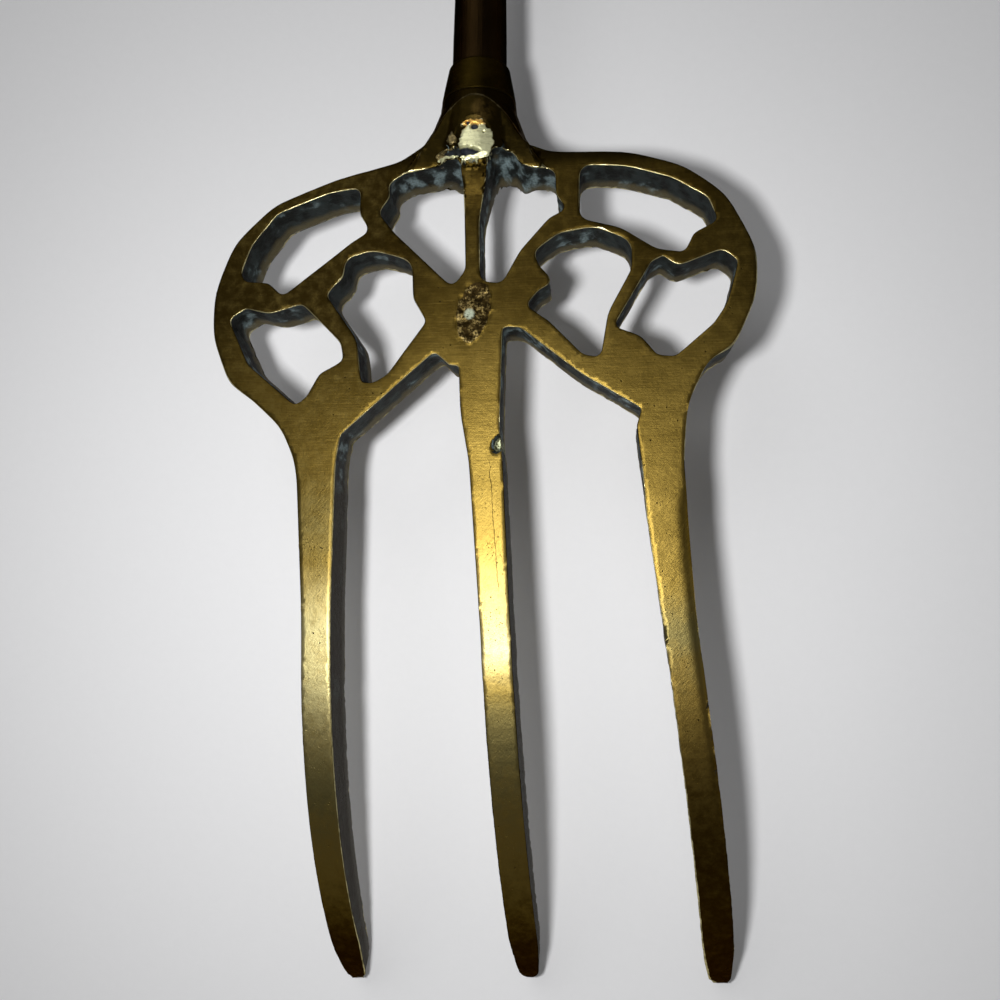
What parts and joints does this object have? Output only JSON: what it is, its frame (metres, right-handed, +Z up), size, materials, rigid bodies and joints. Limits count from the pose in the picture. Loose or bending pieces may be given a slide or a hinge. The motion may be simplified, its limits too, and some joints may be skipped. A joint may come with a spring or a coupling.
{
  "type": "toasting fork",
  "caption": "Long-handled toasting fork with an openwork cast brass head, bent tines, a turned brass rod handle and a swinging hanging ring.",
  "frame": {"origin": "middle of the footprint, on the surface that the tine tips and the knob rest on", "axes": "+Z up, +Y along the handle from the tines to the ring, +X across the head"},
  "size_m": [0.0621, 0.4581, 0.0196],
  "materials": {
    "cast_brass": "tarnished, worn bright",
    "braze": "bright, filed",
    "turned_brass": "dark patina",
    "rod_brass": "very dark patina",
    "rivet_brass": "satin"
  },
  "bodies": {
    "fork": {"fork_head": "cast_brass", "neck_braze": "braze", "neck_ferrule": "turned_brass", "shaft": "rod_brass", "end_ferrule": "turned_brass", "finial": "turned_brass", "ring_rivet": "rivet_brass"},
    "ring": {"hanging_ring": "cast_brass"}
  },
  "joints": [
    {"name": "ring_swing", "type": "hinge", "parent": "fork", "child": "ring", "pos_m": [-0.0005, 0.19812, 0.00666], "axis": [0, 0.0223, 0.9998], "range_deg": [-90, 90]}
  ]
}
